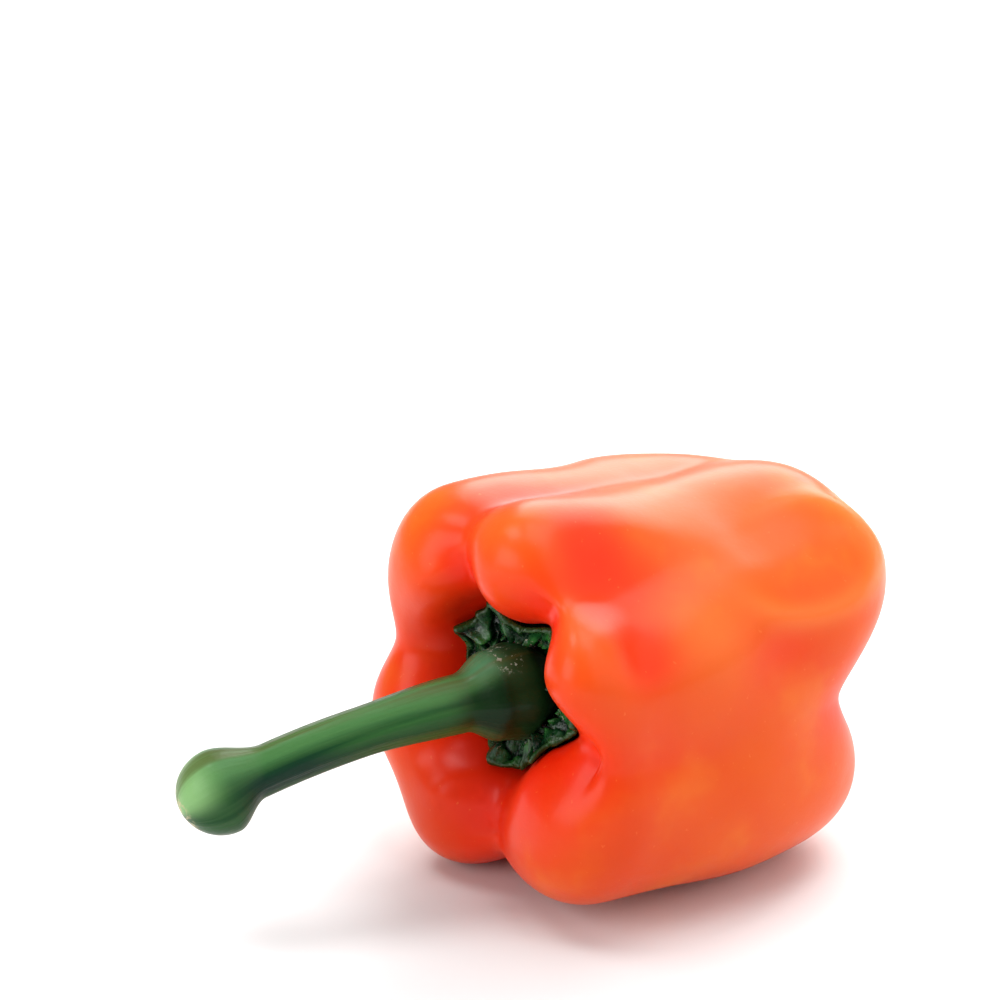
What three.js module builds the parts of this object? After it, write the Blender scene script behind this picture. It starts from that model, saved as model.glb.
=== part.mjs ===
// A ripe blocky bell pepper, picked with its stem and lying on its side.
// It is three grown pieces: the lobed fruit, the crumpled calyx on the floor of its stem hollow,
// and the stem that rises from the calyx and ends in a swollen knob.
//
// Units are millimetres, +Z is up, and the pepper lies along X with its stem towards -X.
// Each piece is modelled in the fruit's own frame, with the core line as its z axis, the stem end up
// and the blossom end near z = 0. One matrix then lays that frame on its side.

import * as THREE from "three";

// Driving dimensions.
const BELLY_RADIUS = 42; // core line to the side of the belly, lobes and furrows averaged out
const FRUIT_LENGTH = 86; // blossom end to the crest of the shoulders
const FOOT_RADIUS = 11.5; // the stem's flared foot on the calyx
const SHAFT_RADIUS = 5.7; // the slim middle of the stem
const KNOB_RADIUS = 10; // the swollen end of the stem
const PIECE_GAP = 0.3; // clearance between neighbouring pieces
const HOLLOW_SHIFT = 2.2; // how far the stem hollow sits above the core line of the body

// How the fruit lies.
const AXIS_TILT = 4; // degrees that the wide shoulders raise the stem end
const FLAT_SPOT_DEPTH = 1.2; // how far the bellies of the two lowest lobes are pressed flat

// Mesh density.
const FRUIT_SIDES = 96;
const FRUIT_ROWS = 44;
const CALYX_SIDES = 80;
const CALYX_ROWS = 10;
const STEM_SIDES = 24;
const STEM_ROWS = 36;

// The meridian, from the middle of the stem hollow over the shoulder to the blossom dimple.
// Each control point is [share of BELLY_RADIUS, share of FRUIT_LENGTH]. A cubic B-spline runs through
// their neighbourhood, so a point's index is also the station along the meridian.
const MERIDIAN = [
  [0.0, 0.79],
  [0.22, 0.785],
  [0.44, 0.795],
  [0.5, 0.89],
  [0.6, 1.0],
  [0.84, 1.05],
  [1.04, 0.96],
  [1.05, 0.77],
  [1.02, 0.54],
  [1.04, 0.31],
  [1.06, 0.07],
  [0.8, -0.05],
  [0.3, 0.02],
  [0.0, 0.07],
];
const LAST_STATION = MERIDIAN.length - 1;

// Stations where the swell of a lobe or the depth of a furrow is stated, in mm.
const FORM_STATIONS = { floor: 1.2, wall: 3, crest: 4.8, shoulder: 6.5, belly: 8.5, tip: 11, dimple: 12.8 };

// Lobes swell out of the meridian. Angles run round the core line from the side that faces the
// viewer, through the top at 90 to the far side at 180 and the underside at 270. A lobe or a furrow
// drifts from angle "at" in the stem hollow to angle "to" at the blossom end.
const LOBES = [
  { at: 26, to: 34, width: 27, wall: 3.5, crest: 8.5, shoulder: 2.5, belly: 3, tip: 7 },
  { at: 94, to: 72, width: 28, wall: 6, crest: 7, shoulder: 8, belly: 4, tip: 9 },
  { at: 135, to: 126, width: 28, wall: -1, crest: 6.5, shoulder: 13, belly: 10.5, tip: 1 },
  { at: 203, to: 200, width: 26, wall: 1, crest: 5, shoulder: 7, belly: 4.5, tip: 2 },
  { at: 252, to: 242, width: 22, wall: 2, crest: 6, shoulder: 11.5, belly: 7, tip: 2 },
  { at: 312, to: 304, width: 38, wall: 6, crest: 5, shoulder: 9, belly: 9, tip: 5 },
  { at: 330, to: 326, width: 22, wall: 0, crest: 0, shoulder: 1, belly: 5, tip: 4 },
  { at: 42, to: 42, width: 24, wall: 0, crest: 0, shoulder: 0, belly: 2, tip: 4 },
];

// Furrows part the lobes.
const FURROWS = [
  { at: 350, to: 360, width: 20, soft: 5, wall: 3, crest: 9, shoulder: 5, belly: 1.5, tip: 11 },
  { at: 60, to: 50, width: 16, soft: 8, wall: 3, crest: 9, shoulder: 9, belly: 2, tip: 0 },
  { at: 124, to: 88, width: 15, soft: 4, wall: 3, crest: 9, shoulder: 8, belly: 4, tip: 0 },
  { at: 178, to: 172, width: 18, soft: 6, wall: 2, crest: 5, shoulder: 4, belly: 3, tip: 7 },
  { at: 275, to: 264, width: 20, soft: 4, wall: 3, crest: 10, shoulder: 10, belly: 4, tip: 8 },
];

// The calyx: a flat seat under the stem's foot, two rows of puckered bulges round it, and a thin
// angular rim with teeth. Heights are in mm above the floor of the hollow.
const SEAT_HEIGHT = 5;
const RIM_HEIGHT = 2;
const RIM_LIFT = 0.8; // how far the rim's underside curls off the wall of the hollow
const RIM_STATION = 2.95;
const TOOTH_REACH = 0.4;
const TOOTH_COUNT = 7;
const BULGES = [
  { count: 7, phase: 20, warp: 14, at: 0.72, spread: 0.13, height: 3.2 },
  { count: 11, phase: 5, warp: 9, at: 0.88, spread: 0.1, height: 2.2 },
];

// The stem's centre line: it leaves the calyx along the core line, bends and ends in the knob.
// The bend, the reach and the end are in the lying frame, in mm from the middle of the foot.
const STEM_BEND = 17;
const STEM_REACH = [-48, 13, 0];
const STEM_END = [-80, 28, -18];

// Radius along the stem, at shares of its length.
const STEM_GIRTH = [
  { share: 0, radius: FOOT_RADIUS * 0.8 },
  { share: 0.06, radius: FOOT_RADIUS },
  { share: 0.13, radius: FOOT_RADIUS * 0.92 },
  { share: 0.22, radius: SHAFT_RADIUS * 1.2 },
  { share: 0.5, radius: SHAFT_RADIUS },
  { share: 0.74, radius: SHAFT_RADIUS },
];
const KNOB_START = 0.74; // where the knob starts to swell on the stem's upper side
const KNOB_MIDDLE = 0.885;
const KNOB_LAG = 0.05; // how much later it starts on the underside
const RIB_COUNT = 5;
const RIB_HEIGHT = 0.25;

const radians = THREE.MathUtils.degToRad;
const lerp = THREE.MathUtils.lerp;
const smoothstep = THREE.MathUtils.smoothstep;

/** The signed difference between two angles in degrees, from -180 to 180. */
function turn(from, to) {
  return ((((to - from + 180) % 360) + 360) % 360) - 180;
}

/** A smooth blend through values stated at rising places, held level at both ends. */
function through(places, values, x) {
  const i = places.findIndex((place) => x <= place);
  if (i === 0) return values[0];
  if (i < 0) return values[values.length - 1];
  return lerp(values[i - 1], values[i], smoothstep(x, places[i - 1], places[i]));
}

/** A lobe's swell or a furrow's depth at a station, from what it states at the named stations. */
function strength(form, station) {
  const values = [0, form.wall, form.crest, form.shoulder, form.belly, form.tip, 0];
  return through(Object.values(FORM_STATIONS), values, station);
}

/** The angle of a drifting lobe or furrow at a station. */
function drifted(form, station) {
  return form.at + turn(form.at, form.to) * (station / LAST_STATION);
}

/** The meridian's control point; past either pole it is mirrored, so the curve crosses the core line level. */
function control(i) {
  const inside = i < 0 ? -i : Math.min(i, 2 * LAST_STATION - i);
  const [radius, height] = MERIDIAN[inside];
  return [inside === i ? radius : -radius, height];
}

/** Radius and height on the meridian before any lobe, in mm. */
function meridian(station) {
  const i = Math.min(Math.floor(station), LAST_STATION - 1);
  const t = station - i;
  const weights = [
    (1 - t) ** 3 / 6,
    (3 * t ** 3 - 6 * t ** 2 + 4) / 6,
    (-3 * t ** 3 + 3 * t ** 2 + 3 * t + 1) / 6,
    t ** 3 / 6,
  ];
  let radius = 0;
  let height = 0;
  weights.forEach((weight, k) => {
    const [r, h] = control(i - 1 + k);
    radius += weight * r * BELLY_RADIUS;
    height += weight * h * FRUIT_LENGTH;
  });
  return [radius, height];
}

/** How far the skin stands out from the meridian at an angle in degrees and a station, in mm. */
function relief(angle, station) {
  let out = 0;
  for (const lobe of LOBES) {
    const away = turn(drifted(lobe, station), angle) / lobe.width;
    out += strength(lobe, station) * Math.exp(-(away ** 2));
  }
  for (const furrow of FURROWS) {
    const away = Math.hypot(turn(drifted(furrow, station), angle), furrow.soft) - furrow.soft;
    out -= strength(furrow, station) * Math.exp(-away / furrow.width);
  }
  return out;
}

/** A point of the fruit's skin, lifted off it by "lift" mm along the meridian's normal. */
function skin(angle, station, lift = 0) {
  const step = 0.01;
  const [r0, h0] = meridian(Math.max(station - step, 0));
  const [r1, h1] = meridian(Math.min(station + step, LAST_STATION));
  const length = Math.hypot(r1 - r0, h1 - h0);
  const [radius, height] = meridian(station);
  const out = relief(angle, station) + lift;
  const r = radius - ((h1 - h0) / length) * out;
  const h = height + ((r1 - r0) / length) * out;
  const shift = HOLLOW_SHIFT * (1 - smoothstep(station, FORM_STATIONS.wall, FORM_STATIONS.shoulder));
  return new THREE.Vector3(r * Math.cos(radians(angle)), r * Math.sin(radians(angle)) + shift, h);
}

/** Stations over the whole meridian, in nearly equal steps of its length. */
function evenStations(rows) {
  const fine = 400;
  const lengths = [0];
  for (let i = 1; i <= fine; i++) {
    const [r0, h0] = meridian((LAST_STATION * (i - 1)) / fine);
    const [r1, h1] = meridian((LAST_STATION * i) / fine);
    lengths.push(lengths[i - 1] + Math.hypot(r1 - r0, h1 - h0));
  }
  return Array.from({ length: rows + 1 }, (_, row) => {
    const wanted = (lengths[fine] * row) / rows;
    return (LAST_STATION * lengths.findIndex((length) => length >= wanted - 1e-9)) / fine;
  });
}

/** A ring of points made by a function of the angle in degrees. */
function ring(sides, pointAt) {
  return Array.from({ length: sides }, (_, j) => pointAt((360 * j) / sides));
}

/** A closed surface through rings of points; the first and last ring are single points. */
function closedSurface(rings) {
  const positions = rings.flat().flatMap((p) => p.toArray());
  const starts = [0];
  for (const points of rings) starts.push(starts[starts.length - 1] + points.length);
  const sides = rings[1].length;
  const last = rings.length - 1;
  const faces = [];
  for (let j = 0; j < sides; j++) {
    const k = (j + 1) % sides;
    faces.push(starts[0], starts[1] + j, starts[1] + k);
    faces.push(starts[last], starts[last - 1] + k, starts[last - 1] + j);
    for (let i = 1; i < last - 1; i++) {
      faces.push(starts[i] + j, starts[i + 1] + j, starts[i] + k);
      faces.push(starts[i] + k, starts[i + 1] + j, starts[i + 1] + k);
    }
  }
  const geometry = new THREE.BufferGeometry();
  geometry.setAttribute("position", new THREE.Float32BufferAttribute(positions, 3));
  geometry.setIndex(faces);
  return geometry;
}

// The lying frame: the core line points to -X, angle 0 to -Y and angle 90 up.
const laid = new THREE.Matrix4().makeRotationY(radians(AXIS_TILT)).multiply(
  new THREE.Matrix4().makeBasis(
    new THREE.Vector3(0, -1, 0),
    new THREE.Vector3(0, 0, 1),
    new THREE.Vector3(-1, 0, 0),
  ),
);

/** The rings of the fruit's skin in the lying frame, from the stem hollow to the blossom end. */
function fruitRings() {
  const rings = evenStations(FRUIT_ROWS).map((station, row) =>
    ring(row % FRUIT_ROWS === 0 ? 1 : FRUIT_SIDES, (angle) => skin(angle, station)),
  );
  return rings.map((points) => points.map((p) => p.applyMatrix4(laid)));
}

/** The fruit, its lowest bellies pressed flat on the plane that it lies on. */
function fruit(rings, ground) {
  for (const p of rings.flat()) p.z = Math.max(p.z, ground);
  return closedSurface(rings);
}

/** Where the calyx ends along the meridian: teeth between shallow bays. */
function rimStation(angle) {
  const wave = 0.5 + 0.5 * Math.cos(radians(TOOTH_COUNT * angle + 25 * Math.sin(radians(2 * angle))));
  return RIM_STATION + TOOTH_REACH * wave ** 3;
}

/** Height of the calyx over the floor, at a share of the way from its middle to its rim. */
function calyxHeight(angle, share) {
  let height = lerp(SEAT_HEIGHT, RIM_HEIGHT, smoothstep(share, 0.6, 1));
  for (const row of BULGES) {
    const warped = row.count * (angle + row.phase + row.warp * Math.sin(radians(3 * angle + row.phase)));
    const lump = 0.5 + 0.5 * Math.cos(radians(warped));
    height += row.height * lump * Math.exp(-(((share - row.at) / row.spread) ** 2));
  }
  return height;
}

/** The calyx: a crumpled cap whose underside follows the floor of the hollow. */
function calyx() {
  const shares = Array.from({ length: CALYX_ROWS + 1 }, (_, row) => row / CALYX_ROWS);
  const top = shares.map((share) =>
    ring(share === 0 ? 1 : CALYX_SIDES, (a) =>
      skin(a, share * rimStation(a), calyxHeight(a, share)),
    ),
  );
  const underside = shares.reverse().map((share) =>
    ring(share === 0 ? 1 : CALYX_SIDES, (a) =>
      skin(a, share * rimStation(a), PIECE_GAP + RIM_LIFT * share ** 2),
    ),
  );
  return closedSurface([...top, ...underside].map((points) => points.map((p) => p.applyMatrix4(laid))));
}

/** The stem's radius at a share of its length; "under" is 1 on its underside and 0 on its upper side. */
function stemRadius(share, under) {
  if (share >= KNOB_MIDDLE) {
    const past = (share - KNOB_MIDDLE) / (1 - KNOB_MIDDLE);
    return KNOB_RADIUS * Math.sqrt(Math.max(0, 1 - past ** 2));
  }
  const shaft = through(
    STEM_GIRTH.map((girth) => girth.share),
    STEM_GIRTH.map((girth) => girth.radius),
    share,
  );
  return lerp(shaft, KNOB_RADIUS, smoothstep(share, KNOB_START + KNOB_LAG * under, KNOB_MIDDLE));
}

/** The stem: a ribbed, bent stalk with a flared foot and a rounded knob. */
function stem() {
  const foot = skin(0, 0, SEAT_HEIGHT + PIECE_GAP).applyMatrix4(laid);
  const core = new THREE.Vector3(0, 0, 1).transformDirection(laid);
  const line = new THREE.CubicBezierCurve3(
    foot,
    foot.clone().addScaledVector(core, STEM_BEND),
    foot.clone().add(new THREE.Vector3(...STEM_REACH)),
    foot.clone().add(new THREE.Vector3(...STEM_END)),
  );
  const rings = [[foot]];
  for (let row = 0; row < STEM_ROWS; row++) {
    const share = Math.sin((Math.PI / 2) * (row / STEM_ROWS));
    const centre = line.getPointAt(share);
    const along = line.getTangentAt(share);
    const side = new THREE.Vector3(0, 0, 1).cross(along).normalize();
    const up = along.clone().cross(side);
    const fade = 1 - smoothstep(share, KNOB_START, 1);
    rings.push(
      ring(STEM_SIDES, (angle) => {
        const under = 0.5 - 0.5 * Math.sin(radians(angle));
        const rib = RIB_HEIGHT * fade * Math.cos(radians(RIB_COUNT * angle));
        const r = stemRadius(share, under) + rib;
        return centre
          .clone()
          .addScaledVector(side, r * Math.cos(radians(angle)))
          .addScaledVector(up, r * Math.sin(radians(angle)));
      }),
    );
  }
  rings.push([line.getPointAt(1)]);
  return closedSurface(rings.reverse());
}

/** A named piece in its own colour. */
function piece(name, geometry, color, roughness) {
  geometry.computeVertexNormals();
  const material = new THREE.MeshStandardMaterial({ color, roughness, metalness: 0 });
  const mesh = new THREE.Mesh(geometry, material);
  mesh.name = name;
  return mesh;
}

const rings = fruitRings();
const ground = Math.min(...rings.flat().map((p) => p.z)) + FLAT_SPOT_DEPTH;

const pepper = new THREE.Group();
pepper.add(piece("fruit", fruit(rings, ground), 0xf4511e, 0.3));
pepper.add(piece("calyx", calyx(), 0x2c5a2e, 0.5));
pepper.add(piece("stem", stem(), 0x3f7a3a, 0.5));

// The origin is under the middle of the whole pepper, on the plane that it lies on.
const middle = new THREE.Box3().setFromObject(pepper).getCenter(new THREE.Vector3());
pepper.position.set(-middle.x, -middle.y, -ground);

export default pepper;
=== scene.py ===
"""A ripe bell pepper lying on its side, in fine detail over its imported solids.

The fruit, calyx and stem follow the same formulas as the solids, on finer grids and with procedural
materials. Lengths are in millimetres until a mesh is made, and in metres from there on.
"""

import math

import bpy
import numpy as np
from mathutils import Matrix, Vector


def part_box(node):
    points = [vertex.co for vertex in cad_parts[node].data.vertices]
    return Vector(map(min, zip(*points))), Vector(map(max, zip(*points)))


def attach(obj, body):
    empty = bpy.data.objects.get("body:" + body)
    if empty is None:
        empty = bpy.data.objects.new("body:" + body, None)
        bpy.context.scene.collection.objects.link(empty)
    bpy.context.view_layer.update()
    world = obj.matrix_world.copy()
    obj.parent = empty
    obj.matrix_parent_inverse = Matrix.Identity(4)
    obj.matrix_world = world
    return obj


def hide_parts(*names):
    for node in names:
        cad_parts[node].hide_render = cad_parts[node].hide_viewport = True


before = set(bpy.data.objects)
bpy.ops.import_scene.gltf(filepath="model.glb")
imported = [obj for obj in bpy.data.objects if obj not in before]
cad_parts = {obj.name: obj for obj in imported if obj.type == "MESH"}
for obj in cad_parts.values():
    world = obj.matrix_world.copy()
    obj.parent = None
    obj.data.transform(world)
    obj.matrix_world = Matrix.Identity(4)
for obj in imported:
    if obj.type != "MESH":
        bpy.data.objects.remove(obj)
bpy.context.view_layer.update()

MM = 0.001

# Driving dimensions
BELLY_RADIUS = 42
FRUIT_LENGTH = 86
FOOT_RADIUS = 11.5
SHAFT_RADIUS = 5.7
KNOB_RADIUS = 10
PIECE_GAP = 0.3
HOLLOW_SHIFT = 2.2
AXIS_TILT = 4

# Mesh density
FRUIT_SIDES, FRUIT_ROWS = 360, 220
CALYX_SIDES, CALYX_ROWS = 420, 60
STEM_SIDES, STEM_ROWS = 120, 200

# The meridian from the stem hollow to the blossom end: shares of BELLY_RADIUS and FRUIT_LENGTH
MERIDIAN = np.array([
    (0.0, 0.79),
    (0.22, 0.785),
    (0.44, 0.795),
    (0.5, 0.89),
    (0.6, 1.0),
    (0.84, 1.05),
    (1.04, 0.96),
    (1.05, 0.77),
    (1.02, 0.54),
    (1.04, 0.31),
    (1.06, 0.07),
    (0.8, -0.05),
    (0.3, 0.02),
    (0.0, 0.07),
])
LAST_STATION = len(MERIDIAN) - 1

# Stations where a swell or a depth is stated: floor, wall, crest, shoulder, belly, tip, dimple
FORM_STATIONS = (1.2, 3, 4.8, 6.5, 8.5, 11, 12.8)

# Lobes: angle in the hollow, angle at the blossom end, width, then swell from wall to tip in mm
LOBES = (
    (26, 34, 27, (3.5, 8.5, 2.5, 3, 7)),
    (94, 72, 28, (6, 7, 8, 4, 9)),
    (135, 126, 28, (-1, 6.5, 13, 10.5, 1)),
    (203, 200, 26, (1, 5, 7, 4.5, 2)),
    (252, 242, 22, (2, 6, 11.5, 7, 2)),
    (312, 304, 38, (6, 5, 9, 9, 5)),
    (330, 326, 22, (0, 0, 1, 5, 4)),
    (42, 42, 24, (0, 0, 0, 2, 4)),
)

# Furrows: the same, with how soft the bottom is after the width
FURROWS = (
    (350, 360, 20, 5, (3, 9, 5, 1.5, 11)),
    (60, 50, 16, 8, (3, 9, 9, 2, 0)),
    (124, 88, 15, 4, (3, 9, 8, 4, 0)),
    (178, 172, 18, 6, (2, 5, 4, 3, 7)),
    (275, 264, 20, 4, (3, 10, 10, 4, 8)),
)

# The depth of furrow and the height of calyx that count as 1 for the colours
FULL_FURROW = 10
FULL_CALYX = 8

# The cheek near the blossom end: middle angle, half width in degrees, station, half length in stations
CHEEK = (47, 18, 9.2, 1.15)
CHEEK_RIM = 1.1
CHEEK_RIM_WIDTH = 0.2

# Small swells and dips of the skin: angle, station, half width in degrees, half length, height in mm
SWELLS = (
    (48, 5.4, 14, 0.45, 0.9),
    (30, 7.6, 12, 0.55, 1.1),
    (96, 5.6, 12, 0.5, 0.6),
)
DIPS = (
    (32, 6.6, 13, 0.55, -1.5),
    (70, 6.6, 13, 0.65, -1.3),
    (20, 8.6, 12, 0.7, -0.8),
)

# Shallow dents all over the skin: height of the wide and of the narrow ones
WIDE_DENT, NARROW_DENT = 0.35, 0.2

# Calyx
SEAT_HEIGHT = 5
RIM_HEIGHT = 2
RIM_LIFT = 0.8
RIM_STATION = 2.95
TOOTH_REACH = 0.4
TOOTH_COUNT = 7
FRAY_REACH = 0.14
FRAY_MIDDLE = 0.4
PUCKER_START = 0.5
PUCKER_HEIGHT, CREASE_SINK = 4.6, 1.6
EDGE_THINNING, FRAY_THICKNESS = 0.92, 0.3
BULGES = (  # count, phase, warp, share of the way to the rim, spread, height
    (7, 20, 14, 0.72, 0.13, 3.2),
    (11, 5, 9, 0.88, 0.1, 2.2),
)

# Stem
STEM_BEND = 17
STEM_REACH = (-48, 13, 0)
STEM_END = (-80, 28, -18)
STEM_GIRTH = (  # share of the length, radius
    (0, FOOT_RADIUS * 0.8),
    (0.06, FOOT_RADIUS),
    (0.13, FOOT_RADIUS * 0.92),
    (0.22, SHAFT_RADIUS * 1.2),
    (0.5, SHAFT_RADIUS),
    (0.74, SHAFT_RADIUS),
)
KNOB_START, KNOB_MIDDLE, KNOB_LAG = 0.74, 0.885, 0.05
RIB_COUNT, RIB_HEIGHT = 5, 0.25

# Colours of the fruit
RED_SKIN = (0.73, 0.056, 0.003)
ORANGE_SKIN = (0.78, 0.096, 0.005)
TOP_LIT_SKIN = (0.86, 0.128, 0.012)
AMBER_SKIN = (0.82, 0.17, 0.01)
FURROW_SHADE_RED = (0.84, 0.03, 0.002)
HOLLOW_SHADE_RED = (0.8, 0.008, 0.001)
BLOSSOM_BROWN = (0.55, 0.09, 0.014)
DIP_SHADE_RED = (0.8, 0.026, 0.001)
RIDGE_HIGHLIGHT_SKIN = (0.95, 0.27, 0.05)
FLECK_ORANGE = (0.92, 0.22, 0.05)

# Colours of the calyx
CALYX_DARK = (0.002, 0.022, 0.007)
CALYX_GREEN = (0.009, 0.075, 0.014)
CALYX_LIT_TOP = (0.035, 0.19, 0.03)
CALYX_CREASE_SHADE = (0.001, 0.008, 0.003)
CALYX_DRY = (0.4, 0.38, 0.26)
CALYX_EDGE = (0.025, 0.075, 0.012)

# Colours of the stem
STEM_DARK = (0.008, 0.055, 0.013)
STEM_GREEN = (0.026, 0.105, 0.024)
STEM_LIT = (0.07, 0.2, 0.06)
STEM_LINE = (0.065, 0.17, 0.045)
STEM_UNDERSIDE_SHADE = (0.008, 0.045, 0.013)
STEM_NECK_SHADE = (0.002, 0.022, 0.014)
STEM_LEAFY = (0.045, 0.11, 0.012)
STEM_OLIVE = (0.07, 0.075, 0.014)
FOOT_DARK = (0.002, 0.018, 0.004)
FOOT_CROWN_HIGHLIGHT = (0.07, 0.22, 0.1)
FOOT_COLLAR_SHADE = (0.002, 0.015, 0.002)
FOOT_SPECKS_AND_GLINTS = (0.5, 0.56, 0.46)
KNOB_LIT_TOP = (0.24, 0.46, 0.17)
SCAR_TAN = (0.5, 0.42, 0.24)

# How each surface shines
SKIN_SHINE = {
    "Subsurface Weight": 0.12,
    "Subsurface Radius": (1.0, 0.2, 0.08),
    "Subsurface Scale": 0.006,
    "Specular IOR Level": 0.14,
    "Coat Weight": 0.1,
    "Coat Roughness": 0.22,
}
CALYX_SHINE = {"Specular IOR Level": 0.4}
STEM_SHINE = {"Specular IOR Level": 0.16}

# Heights in metres between which the skin turns to its top-lit colour: painted light, lighter towards the top
# of the fruit
TOP_LIT_HEIGHTS = (0.03, 0.085)

# Camera: degrees, metres, and the pixel of the picture where the middle of the fruit is
AZIMUTH, ELEVATION, DISTANCE = -40, 20, 0.65
IMAGE_SIZE = 1000
FOCAL_PIXELS = 2700
AIM_PIXEL = (638, 659)
SENSOR = 36

# Floor: half its side, its two greys, and its glow with the distances in metres where that starts and is full
FLOOR_HALF = 3.0
FLOOR_GREYS = ((0.78, 0.78, 0.78), (0.82, 0.82, 0.82))
FLOOR_ROUGHNESS = 0.8
FLOOR_GLOW = 0.6
GLOW_REACH = (0.15, 0.7)

# Square soft lights: name, direction to the right, up and back of the view, distance, side, power
LIGHTS = (
    ("key", (0.25, 0.84, -0.5), 1.1, 1.0, 16),
    ("fill", (0.2, 0.9, 0.35), 1.3, 0.8, 8),
    ("front", (0.75, 0.4, 0.6), 1.4, 1.4, 6.8),
    ("window", (-0.8, 0.22, 0.62), 0.9, 0.55, 3.8),
    ("lamp", (-0.42, 0.85, 0.32), 1.0, 0.35, 2.8),
    ("rim", (1.0, 0.15, -0.35), 0.9, 0.6, 2.8),
)
SKY_LIGHT = 0.25


def turn(start, to):
    """The signed difference between two angles in degrees, from -180 to 180."""
    return (to - start + 180) % 360 - 180


def smoothstep(x, low, high):
    t = np.clip((x - low) / (high - low), 0, 1)
    return t * t * (3 - 2 * t)


def through(places, values, x):
    """A smooth blend through values stated at rising places, held level at both ends."""
    out = np.full(np.shape(x), float(values[0]))
    for i in range(1, len(places)):
        out += (values[i] - values[i - 1]) * smoothstep(x, places[i - 1], places[i])
    return out


def lengths(points):
    """The distance of each point of a row from the first, measured along the row."""
    steps = np.linalg.norm(np.diff(points, axis=0), axis=1)
    return np.concatenate([[0], np.cumsum(steps)])


def meridian(station):
    """Radius and height on the meridian before any lobe: a cubic B-spline, mirrored past either pole."""
    padded = np.concatenate([MERIDIAN[1:2] * (-1, 1), MERIDIAN, MERIDIAN[-2:-1] * (-1, 1)])
    i = np.minimum(np.floor(station).astype(int), LAST_STATION - 1)
    t = station - i
    weights = (
        (1 - t) ** 3 / 6,
        (3 * t**3 - 6 * t**2 + 4) / 6,
        (-3 * t**3 + 3 * t**2 + 3 * t + 1) / 6,
        t**3 / 6,
    )
    point = sum(w[..., None] * padded[i + k] for k, w in enumerate(weights))
    return point[..., 0] * BELLY_RADIUS, point[..., 1] * FRUIT_LENGTH


def drifted(start, end, station):
    """The angle of a lobe or furrow that drifts from the hollow to the blossom end."""
    return start + turn(start, end) * (station / LAST_STATION)


def strength(values, station):
    """How strong a lobe or furrow is at a station: nothing at either pole."""
    return through(FORM_STATIONS, (0, *values, 0), station)


def furrow_depth(angle, station):
    """How deep the furrows cut at a place on the skin, in mm."""
    depth = 0
    for start, end, width, soft, values in FURROWS:
        away = np.hypot(turn(drifted(start, end, station), angle), soft) - soft
        depth = depth + strength(values, station) * np.exp(-away / width)
    return depth


def relief(angle, station):
    """How far the skin stands out from the meridian, in mm."""
    out = -furrow_depth(angle, station)
    for start, end, width, values in LOBES:
        away = turn(drifted(start, end, station), angle) / width
        out = out + strength(values, station) * np.exp(-(away**2))
    return out


def laid(points):
    """From the fruit's own frame to the lying frame: the core line points to -X."""
    x, y, z = -points[..., 2], -points[..., 0], points[..., 1]
    c, s = math.cos(math.radians(AXIS_TILT)), math.sin(math.radians(AXIS_TILT))
    return np.stack([c * x + s * z, y, c * z - s * x], axis=-1)


def skin(angle, station, lift=0):
    """Points of the fruit's skin in the lying frame, lifted off it along the meridian's normal."""
    step = 0.01
    r0, h0 = meridian(np.maximum(station - step, 0))
    r1, h1 = meridian(np.minimum(station + step, LAST_STATION))
    length = np.hypot(r1 - r0, h1 - h0)
    radius, height = meridian(station)
    out = relief(angle, station) + lift
    r = radius - (h1 - h0) / length * out
    h = height + (r1 - r0) / length * out
    shift = HOLLOW_SHIFT * (1 - smoothstep(station, FORM_STATIONS[1], FORM_STATIONS[3]))
    a = np.radians(angle)
    return laid(np.stack([r * np.cos(a), r * np.sin(a) + shift, h], axis=-1))


def grid(sides, rows):
    """Angles and rows of a closed surface's inner rings, as two arrays of one shape."""
    angle = np.arange(sides) * 360 / sides
    return np.meshgrid(angle, np.arange(1, rows), indexing="xy")


def even_stations(rows):
    """Stations over the whole meridian, in equal steps of its length."""
    fine = np.linspace(0, LAST_STATION, 2000)
    length = lengths(np.stack(meridian(fine), axis=-1))
    return np.interp(np.linspace(0, length[-1], rows + 1), length, fine)


def fruit_grid():
    angle, row = grid(FRUIT_SIDES, FRUIT_ROWS)
    return angle, even_stations(FRUIT_ROWS)[row]


def packed_shift():
    """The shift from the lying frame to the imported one, from the fruit's box."""
    low, high = (np.array(corner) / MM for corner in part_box("fruit"))
    points = skin(*fruit_grid()).reshape(-1, 3)
    middle = (points.min(0) + points.max(0)) / 2
    return np.array([*((low + high) / 2 - middle)[:2], high[2] - points[:, 2].max()])


SHIFT = packed_shift()


def pole(station, lift=0):
    """The point on the fruit's axis at the first or the last station."""
    return skin(np.array(0.0), np.array(float(station)), lift) + SHIFT


def closed_mesh(name, first, rings, last, layers):
    """A smooth closed mesh through rings of points, with one point at each end, in metres.

    A layer holds three values for each point, as (name, at the first, on the rings, at the last)."""
    count, sides = rings.shape[:2]
    points = np.concatenate([[first], rings.reshape(-1, 3), [last]])
    j = np.arange(sides)
    k = (j + 1) % sides
    base = 1 + np.arange(count - 1)[:, None] * sides
    quads = np.stack([base + j, base + sides + j, base + sides + k, base + k], axis=-1).reshape(-1, 4)
    end = 1 + (count - 1) * sides
    caps = [(0, 1 + a, 1 + b) for a, b in zip(j, k)]
    caps += [(len(points) - 1, end + b, end + a) for a, b in zip(j, k)]
    mesh = bpy.data.meshes.new(name)
    mesh.from_pydata(points * MM, [], quads.tolist() + caps)
    mesh.shade_smooth()
    for layer, start, values, stop in layers:
        attribute = mesh.attributes.new(layer, "FLOAT_VECTOR", "POINT")
        flat = np.concatenate([[start], values.reshape(-1, 3), [stop]]).astype(np.float32)
        attribute.data.foreach_set("vector", flat.ravel())
    return add_object(name, mesh)


def add_object(name, data):
    """A new object of the scene that holds a mesh, a camera or a light."""
    piece = bpy.data.objects.new(name, data)
    bpy.context.scene.collection.objects.link(piece)
    return piece


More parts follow.
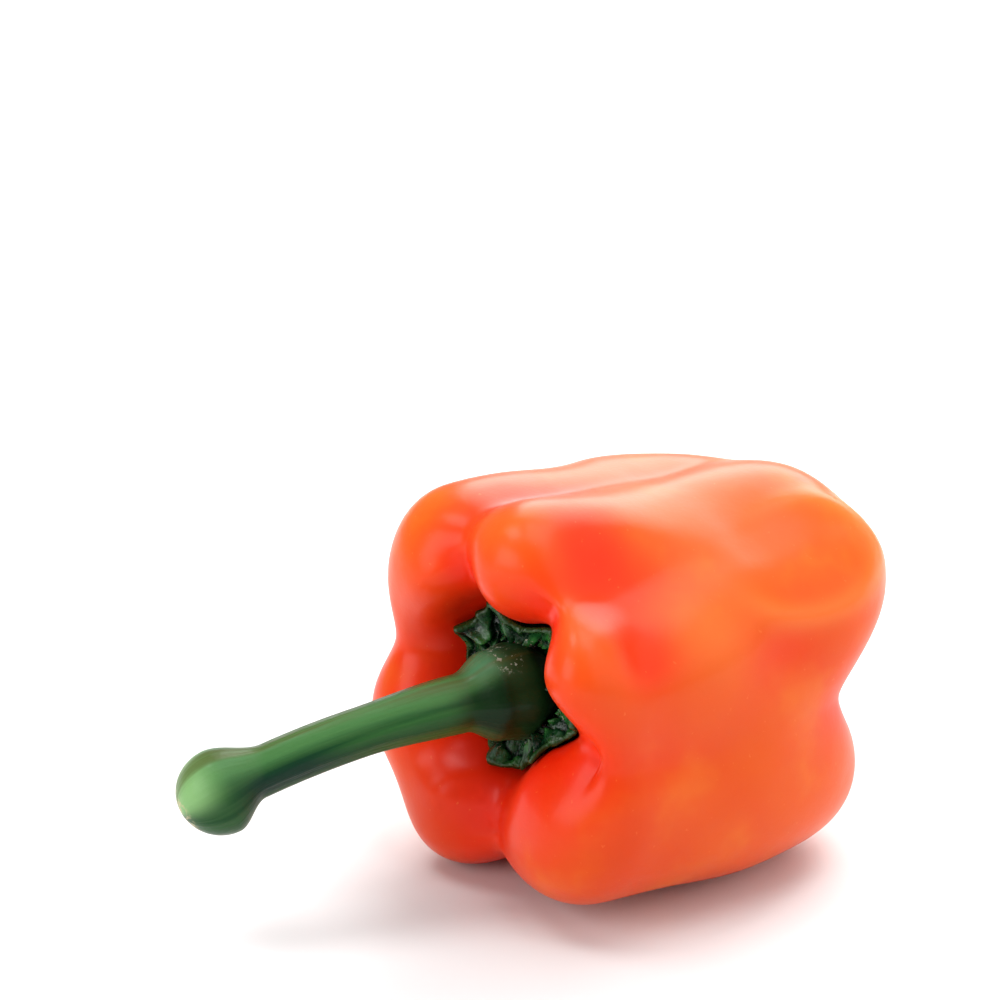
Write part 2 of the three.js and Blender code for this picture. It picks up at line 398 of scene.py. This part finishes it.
def dents(angle, station):
    """Shallow irregular swells of the skin, fading out at both ends."""
    a = np.radians(angle)
    wide = np.sin(5 * a + 0.9 * station + 1) * np.sin(1.7 * station + 2 * a)
    narrow = np.sin(9 * a - 1.3 * station) * np.sin(2.9 * station + 1)
    fade = smoothstep(station, 3, 5) * (1 - smoothstep(station, 11.5, 12.5))
    return (WIDE_DENT * wide + NARROW_DENT * narrow) * fade


def patches(angle, station, places):
    """The summed heights of small rounded swells or dips."""
    height = 0
    for middle, where, half, reach, tall in places:
        away = (turn(middle, angle) / half) ** 2 + ((station - where) / reach) ** 2
        height = height + tall * np.exp(-away)
    return height


def cheek_rim(angle, station):
    """How near a place is to the raised edge of the rounded cheek by the blossom end, from 0 to 1."""
    middle, half, where, reach = CHEEK
    across = turn(middle, angle) / half
    along = (station - where) / reach
    ring = np.exp(-(((np.hypot(across, along) - 1) / CHEEK_RIM_WIDTH) ** 2))
    return ring * smoothstep(along - 0.6 * across, -1.2, 0.4)


def fine_relief(angle, station):
    """What the fine skin adds to the solid's form, in mm."""
    small = patches(angle, station, SWELLS) + patches(angle, station, DIPS)
    return dents(angle, station) + CHEEK_RIM * cheek_rim(angle, station) + small


def make_fruit():
    angle, station = fruit_grid()
    rings = skin(angle, station, fine_relief(angle, station)) + SHIFT
    rings[..., 2] = np.maximum(rings[..., 2], 0)
    furrow = furrow_depth(angle, station) / FULL_FURROW
    hollow = 1 - smoothstep(station, 3, 6)
    blossom = smoothstep(station, 11.2, 13)
    marks = np.stack([furrow, hollow, blossom], axis=-1)
    # Painted light for the material: a highlight along the cheek's rim and on the swells, and shade in the
    # dips
    rim = cheek_rim(angle, station)
    shade_and_highlight = np.stack([rim, -patches(angle, station, DIPS), patches(angle, station, SWELLS)], axis=-1)
    layers = (("marks", (0, 1, 0), marks, (0, 0, 1)), ("shade_and_highlight", (0, 0, 0), shade_and_highlight, (0, 0, 0)))
    return closed_mesh("fruit_skin", pole(0), rings, pole(LAST_STATION), layers)


def fraying(angle):
    """Small sharp teeth along the calyx's rim, 0 between them and 1 at their points."""
    a = np.radians(angle)
    return np.abs(np.sin(13 * a + np.sin(3 * a)) * np.sin(7 * a + 1.3 * np.sin(5 * a))) ** 1.5


def rim_station(angle):
    """The station where the calyx ends: large teeth with a frayed edge."""
    wave = 0.5 + 0.5 * np.cos(np.radians(TOOTH_COUNT * angle + 25 * np.sin(np.radians(2 * angle))))
    return RIM_STATION + TOOTH_REACH * wave**3 + FRAY_REACH * (fraying(angle) - FRAY_MIDDLE)


def calyx_height(angle, share):
    """Height of the calyx over the floor of the hollow."""
    height = SEAT_HEIGHT + (RIM_HEIGHT - SEAT_HEIGHT) * smoothstep(share, 0.6, 1)
    for count, phase, warp, at, spread, tall in BULGES:
        warped = count * (angle + phase + warp * np.sin(np.radians(3 * angle + phase)))
        lump = 0.5 + 0.5 * np.cos(np.radians(warped))
        height = height + tall * lump * np.exp(-(((share - at) / spread) ** 2))
    return height


def crumple(angle, share):
    """Puckers of the calyx, 0 in the creases and 1 on the tops of its small domes."""
    a = np.radians(angle)
    domes = np.abs(np.sin(10 * a + 5 * share + np.sin(4 * a)) * np.sin(19 * share + 1.4 * np.sin(5 * a)))
    small = np.abs(np.sin(27 * a - 8 * share + 2 * np.sin(3 * a)) * np.sin(46 * share + 2 * np.sin(7 * a)))
    return (0.82 * domes**0.55 + 0.18 * small) * smoothstep(share, PUCKER_START, PUCKER_START + 0.1)


def make_calyx():
    angle, row = grid(CALYX_SIDES, CALYX_ROWS + 1)
    share = row / CALYX_ROWS
    station = share * rim_station(angle)
    puckers = crumple(angle, share)
    thickness = FRAY_THICKNESS * fraying(2 * angle + 40)
    thinning = 1 - (EDGE_THINNING - thickness) * smoothstep(share, 0.84, 1)
    folds = (PUCKER_HEIGHT * puckers - CREASE_SINK * (share > PUCKER_START)) * thinning
    top_height = calyx_height(angle, share) + folds
    top = skin(angle, station, top_height)
    under = skin(angle, station, PIECE_GAP + RIM_LIFT * share**2)
    rings = np.concatenate([top, under[::-1]]) + SHIFT
    none = np.zeros_like(share)
    height = np.concatenate([top_height, none]) / FULL_CALYX
    out = np.concatenate([share, share[::-1]])
    marks = np.stack([height, out, np.concatenate([puckers, none])], axis=-1)
    layers = (("marks", (0.6, 0, 0), marks, (0, 0, 0)),)
    return closed_mesh("calyx_cap", pole(0, SEAT_HEIGHT), rings, pole(0, PIECE_GAP), layers)


def stem_radius(share, under):
    """The stem's radius; under is 1 on the underside, where the knob starts later."""
    shares, radii = zip(*STEM_GIRTH)
    shaft = through(shares, radii, share)
    swell = smoothstep(share, KNOB_START + KNOB_LAG * under, KNOB_MIDDLE)
    past = np.clip((share - KNOB_MIDDLE) / (1 - KNOB_MIDDLE), 0, 1)
    return np.where(share < KNOB_MIDDLE, shaft + (KNOB_RADIUS - shaft) * swell,
                    KNOB_RADIUS * np.sqrt(1 - past**2))


def bezier(p, t):
    """Points and directions of a cubic curve."""
    point = (1 - t) ** 3 * p[0] + 3 * t * (1 - t) ** 2 * p[1] + 3 * t**2 * (1 - t) * p[2] + t**3 * p[3]
    along = (1 - t) ** 2 * (p[1] - p[0]) + 2 * t * (1 - t) * (p[2] - p[1]) + t**2 * (p[3] - p[2])
    return point, along / np.linalg.norm(along, axis=1, keepdims=True)


def stem_line(share, foot):
    """Points and directions of the stem's centre line at shares of its length."""
    core = laid(np.array([0.0, 0.0, 1.0]))
    controls = np.array([foot, foot + STEM_BEND * core, foot + STEM_REACH, foot + STEM_END])
    t = np.linspace(0, 1, 1001)
    length = lengths(bezier(controls, t[:, None])[0])
    return bezier(controls, np.interp(share, length / length[-1], t)[:, None])


def make_stem():
    share = np.sin(np.pi / 2 * np.arange(STEM_ROWS) / STEM_ROWS)
    foot = pole(0, SEAT_HEIGHT + PIECE_GAP)
    centre, along = stem_line(share, foot)
    side = np.cross((0, 0, 1), along)
    side /= np.linalg.norm(side, axis=1, keepdims=True)
    up = np.cross(along, side)
    a, s = np.meshgrid(np.radians(np.arange(STEM_SIDES) * 360 / STEM_SIDES), share)
    across, over = np.cos(a), np.sin(a)
    rib = RIB_HEIGHT * (1 - smoothstep(s, KNOB_START, 1)) * np.cos(RIB_COUNT * a)
    r = (stem_radius(s, 0.5 - 0.5 * over) + rib)[..., None]
    rings = centre[:, None] + r * (across[..., None] * side[:, None] + over[..., None] * up[:, None])
    end = stem_line(np.array([1.0]), foot)[0][0]
    grain = np.stack([across, over, s], axis=-1)
    layers = (("grain", (0, 0, 1), grain[::-1], (0, 0, 0)),)
    return closed_mesh("stem_stalk", end, rings[::-1], foot, layers)


class Nodes:
    """Short calls that build one material from shader nodes."""

    def __init__(self, name):
        self.material = bpy.data.materials.new(name)
        self.material.use_nodes = True
        self.tree = self.material.node_tree
        self.shader = self.tree.nodes["Principled BSDF"]
        self.colour = None

    def add(self, kind, **settings):
        node = self.tree.nodes.new(kind)
        for key, value in settings.items():
            setattr(node, key, value)
        return node

    def feed(self, socket, value):
        """Links a socket to another node's output, or sets it to a number or a colour."""
        if isinstance(value, (int, float)):
            socket.default_value = value
        elif isinstance(value, tuple):
            socket.default_value = (*value, 1)
        else:
            self.tree.links.new(value, socket)

    def attribute(self, name):
        """A layer of the mesh."""
        return self.add("ShaderNodeAttribute", attribute_name=name).outputs["Vector"]

    def position(self):
        return self.add("ShaderNodeNewGeometry").outputs["Position"]

    def parts(self, vector):
        """The three parts of a vector."""
        node = self.add("ShaderNodeSeparateXYZ")
        self.feed(node.inputs[0], vector)
        return node.outputs

    def stretched(self, grain, length):
        """The stem's grain with its length scaled: a small number draws streaks out along the stem."""
        node = self.add("ShaderNodeMapping")
        self.feed(node.inputs["Vector"], grain)
        node.inputs["Scale"].default_value = (1, 1, length)
        return node.outputs["Vector"]

    def noise(self, scale, detail=3, roughness=0.5, vector=None):
        node = self.add("ShaderNodeTexNoise")
        self.feed(node.inputs["Scale"], scale)
        self.feed(node.inputs["Detail"], detail)
        self.feed(node.inputs["Roughness"], roughness)
        self.feed(node.inputs["Vector"], vector or self.position())
        return node.outputs["Fac"]

    def band(self, value, low, high):
        """0 at low, 1 at high, smooth between and level beyond."""
        node = self.add("ShaderNodeMapRange", interpolation_type="SMOOTHSTEP")
        self.feed(node.inputs["Value"], value)
        self.feed(node.inputs["From Min"], low)
        self.feed(node.inputs["From Max"], high)
        return node.outputs["Result"]

    def math(self, operation, first, second=0):
        node = self.add("ShaderNodeMath", operation=operation)
        self.feed(node.inputs[0], first)
        self.feed(node.inputs[1], second)
        return node.outputs[0]

    def times(self, first, *others):
        """The product of several values."""
        for other in others:
            first = self.math("MULTIPLY", first, other)
        return first

    def mix(self, amount, first, second):
        """A colour between two."""
        node = self.add("ShaderNodeMix", data_type="RGBA")
        self.feed(node.inputs[0], amount)
        self.feed(node.inputs[6], first)
        self.feed(node.inputs[7], second)
        return node.outputs[2]

    def paint(self, colour, most, *masks):
        """Lays a colour over what is there: as strongly as most where every mask is 1."""
        self.colour = self.mix(self.times(*masks, most), self.colour, colour)

    def bump(self, height, distance, strength, normal=None):
        node = self.add("ShaderNodeBump")
        self.feed(node.inputs["Distance"], distance)
        self.feed(node.inputs["Strength"], strength)
        self.feed(node.inputs["Height"], height)
        if normal:
            self.feed(node.inputs["Normal"], normal)
        return node.outputs["Normal"]

    def uneven(self, scale, least, span):
        """A value that wanders over the surface, from least to least plus span."""
        return self.math("ADD", self.times(self.noise(scale), span), least)

    def finished(self, normal, roughness, shine):
        """The material, with its painted colour, its relief and its shine on the shader."""
        self.feed(self.shader.inputs["Base Color"], self.colour)
        self.feed(self.shader.inputs["Normal"], normal)
        self.feed(self.shader.inputs["Roughness"], roughness)
        for name, value in shine.items():
            self.shader.inputs[name].default_value = value
        return self.material


def fruit_material():
    n = Nodes("waxy_skin")
    furrow, hollow, blossom = n.parts(n.attribute("marks"))
    rim, dip, swell = n.parts(n.attribute("shade_and_highlight"))
    height = n.parts(n.position())[2]
    n.colour = n.mix(n.band(n.noise(22, 2), 0.35, 0.7), RED_SKIN, ORANGE_SKIN)
    # Painted light: the skin turns lighter and more orange towards the top of the fruit
    n.paint(TOP_LIT_SKIN, 0.6, n.band(height, *TOP_LIT_HEIGHTS))
    n.paint(AMBER_SKIN, 0.5, n.band(n.noise(40, 3, 0.6), 0.5, 0.74))
    # Painted shade: deeper red in the furrows
    n.paint(FURROW_SHADE_RED, 0.85, n.band(furrow, 0.2, 0.9))
    # Painted shade: deeper red in the hollow by the stem
    n.paint(HOLLOW_SHADE_RED, 0.9, hollow)
    n.paint(BLOSSOM_BROWN, 0.5, blossom)
    # Painted shade: deeper red in the dips of the skin
    n.paint(DIP_SHADE_RED, 0.85, n.band(dip, 0.0, 1.3))
    # Painted highlight: paler skin along the cheek's raised rim and on the swells
    n.paint(RIDGE_HIGHLIGHT_SKIN, 1.0, n.math("ADD", n.times(rim, 0.4), n.times(swell, 0.25)))
    n.paint(FLECK_ORANGE, 0.3, n.band(n.noise(640, 2), 0.7, 0.78))
    waves = n.bump(n.noise(55, 2), 0.0012, 0.4)
    pores = n.bump(n.noise(900, 2), 0.00012, 0.3, waves)
    return n.finished(pores, n.uneven(90, 0.27, 0.12), SKIN_SHINE)


def calyx_material():
    n = Nodes("crumpled_calyx")
    height, out, pucker = n.parts(n.attribute("marks"))
    n.colour = n.mix(n.band(n.noise(260, 4, 0.6), 0.35, 0.7), CALYX_DARK, CALYX_GREEN)
    # Painted light on the tops of the domes, and painted shade in the creases below
    n.paint(CALYX_LIT_TOP, 0.8, n.band(pucker, 0.55, 0.95), n.band(n.noise(150, 2), 0.4, 0.62))
    n.paint(CALYX_CREASE_SHADE, 0.8, n.band(pucker, 0.5, 0.2))
    specks = n.band(n.noise(700, 3, 0.7), 0.58, 0.64)
    n.paint(CALYX_DRY, 1.0, specks, n.band(n.noise(120, 2), 0.5, 0.62), n.band(height, 0.4, 0.7))
    n.paint(CALYX_EDGE, 0.6, n.band(out, 0.95, 1.0))
    lumps = n.bump(n.noise(330), 0.001, 0.6)
    grit = n.bump(n.noise(1400), 0.0003, 0.6, lumps)
    return n.finished(grit, n.uneven(400, 0.12, 0.25), CALYX_SHINE)


def paint_shaft(n, across, over, share, wide, fine):
    """Green streaks along the stem, with painted light on top and painted shade below and at the neck of the
    knob.
    """
    n.colour = n.mix(n.band(n.noise(1.6, 2, 0.5, wide), 0.38, 0.62), STEM_DARK, STEM_GREEN)
    n.paint(STEM_LIT, 0.75, n.band(over, 0.3, 0.75), n.band(across, -0.3, 0.3))
    n.paint(STEM_LINE, 0.22, n.band(n.noise(6, 2, 0.5, fine), 0.4, 0.7))
    # Painted shade on the underside of the shaft, and deeper painted shade at the neck of the knob
    n.paint(STEM_UNDERSIDE_SHADE, 0.7, n.band(over, 0.35, -0.4), n.band(share, 0.9, 0.76))
    neck = n.times(n.band(share, 0.5, 0.68), n.band(share, 0.88, 0.78))
    n.paint(STEM_NECK_SHADE, 0.85, neck, n.band(over, 0.55, 0.1), n.band(over, -0.85, -0.5))
    n.paint(STEM_LEAFY, 0.6, n.band(over, -0.2, -0.6), n.band(share, 0.6, 0.4))


def paint_foot(n, over, share):
    """The dark foot of the stem, with a painted highlight on its crown, painted shade at its collar, and a
    few pale dry specks that are also painted glints.
    """
    n.paint(FOOT_DARK, 0.85, n.band(share, 0.26, 0.1))
    # Painted highlight on the crown of the foot
    crown = n.times(n.band(over, 0.68, 0.95), n.band(share, 0.24, 0.17))
    n.paint(FOOT_CROWN_HIGHLIGHT, 0.8, crown, n.band(share, 0.09, 0.15))
    # Painted shade at the collar, where the shaft meets the foot
    collar = n.times(n.band(share, 0.1, 0.14), n.band(share, 0.29, 0.18))
    n.paint(FOOT_COLLAR_SHADE, 0.9, collar, n.band(over, 0.85, 0.5), n.band(over, -0.8, -0.4))
    # Pale dry specks on the crown, which also serve as painted glints
    specks = n.band(n.noise(800, 3, 0.7), 0.57, 0.64)
    n.paint(FOOT_SPECKS_AND_GLINTS, 1.0, crown, n.band(share, 0.07, 0.09), n.band(share, 0.15, 0.12), specks)


def paint_end(n, over, share, wide):
    """A painted highlight on the upper side of the knob, the olive edges of the whole stem, and the tan scar
    of the cut.
    """
    # Painted highlight on the upper side of the knob
    n.paint(KNOB_LIT_TOP, 0.85, n.band(share, 0.84, 0.96), n.band(over, -0.1, 0.6))
    edge = n.band(n.math("ABSOLUTE", over), 0.6, 0.98)
    n.paint(STEM_OLIVE, 0.7, n.band(n.noise(2.2, 3, 0.5, wide), 0.4, 0.65), edge)
    n.paint(SCAR_TAN, 1.0, n.band(share, 0.972, 0.992), n.band(n.noise(600, 4, 0.7), 0.46, 0.6))


def stem_material():
    n = Nodes("stalk_skin")
    grain = n.attribute("grain")
    across, over, share = n.parts(grain)
    wide = n.stretched(grain, 0.9)
    fine = n.stretched(grain, 0.7)
    paint_shaft(n, across, over, share, wide, fine)
    paint_foot(n, over, share)
    paint_end(n, over, share, wide)
    ribs = n.bump(n.noise(5, 2, 0.5, fine), 0.0008, 0.3)
    grit = n.bump(n.noise(800), 0.0002, 0.35, ribs)
    return n.finished(grit, n.uneven(300, 0.26, 0.2), STEM_SHINE)


def floor_material():
    n = Nodes("pale_floor")
    away = n.add("ShaderNodeVectorMath", operation="LENGTH")
    n.feed(away.inputs[0], n.position())
    glow = n.times(n.band(away.outputs["Value"], *GLOW_REACH), FLOOR_GLOW)
    n.feed(n.shader.inputs["Base Color"], n.mix(n.noise(3, 2), *FLOOR_GREYS))
    n.feed(n.shader.inputs["Roughness"], FLOOR_ROUGHNESS)
    n.feed(n.shader.inputs["Emission Color"], (1, 1, 1))
    n.feed(n.shader.inputs["Emission Strength"], glow)
    return n.material


def dress(piece, node, material):
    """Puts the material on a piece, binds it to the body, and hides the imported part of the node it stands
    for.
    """
    piece.data.materials.append(material)
    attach(piece, "root")
    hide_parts(node)


def make_floor():
    mesh = bpy.data.meshes.new("floor")
    corners = [(x * FLOOR_HALF, y * FLOOR_HALF, 0) for x, y in ((-1, -1), (1, -1), (1, 1), (-1, 1))]
    mesh.from_pydata(corners, [], [(0, 1, 2, 3)])
    mesh.materials.append(floor_material())
    floor = add_object("floor", mesh)


def view_axes():
    """The camera's right, up and back directions."""
    a, e = math.radians(AZIMUTH), math.radians(ELEVATION)
    back = Vector((math.sin(a) * math.cos(e), -math.cos(a) * math.cos(e), math.sin(e)))
    right = Vector((math.cos(a), math.sin(a), 0))
    return right, back.cross(right), back


def aim_point():
    """The middle of the fruit's box."""
    low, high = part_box("fruit")
    return (low + high) / 2


def face(thing, back):
    """Turns a camera or a light so that it looks along the opposite of a direction."""
    thing.rotation_mode = "QUATERNION"
    thing.rotation_quaternion = back.to_track_quat("Z", "Y")


def make_camera():
    right, up, back = view_axes()
    data = bpy.data.cameras.new("camera")
    data.sensor_width = SENSOR
    data.lens = SENSOR * FOCAL_PIXELS / IMAGE_SIZE
    camera = add_object("camera", data)
    face(camera, back)
    sideways = (AIM_PIXEL[0] - IMAGE_SIZE / 2) / FOCAL_PIXELS * DISTANCE
    upward = (IMAGE_SIZE / 2 - AIM_PIXEL[1]) / FOCAL_PIXELS * DISTANCE
    camera.location = aim_point() - right * sideways - up * upward + back * DISTANCE
    bpy.context.scene.camera = camera


def make_light(name, towards, distance, size, power):
    """A square soft light that shines on the fruit from a direction of the view."""
    direction = sum((axis * part for axis, part in zip(view_axes(), towards)), Vector())
    direction.normalize()
    data = bpy.data.lights.new(name, "AREA")
    data.size = size
    data.energy = power
    light = add_object(name, data)
    light.location = aim_point() + direction * distance
    face(light, direction)


def make_studio():
    world = bpy.data.worlds.new("studio")
    world.use_nodes = True
    sky = world.node_tree.nodes["Background"].inputs
    sky["Color"].default_value = (1, 1, 1, 1)
    sky["Strength"].default_value = SKY_LIGHT
    bpy.context.scene.world = world
    for light in LIGHTS:
        make_light(*light)
    bpy.context.scene.view_settings.view_transform = "Standard"


dress(make_fruit(), "fruit", fruit_material())
dress(make_calyx(), "calyx", calyx_material())
dress(make_stem(), "stem", stem_material())
make_floor()
make_camera()
make_studio()
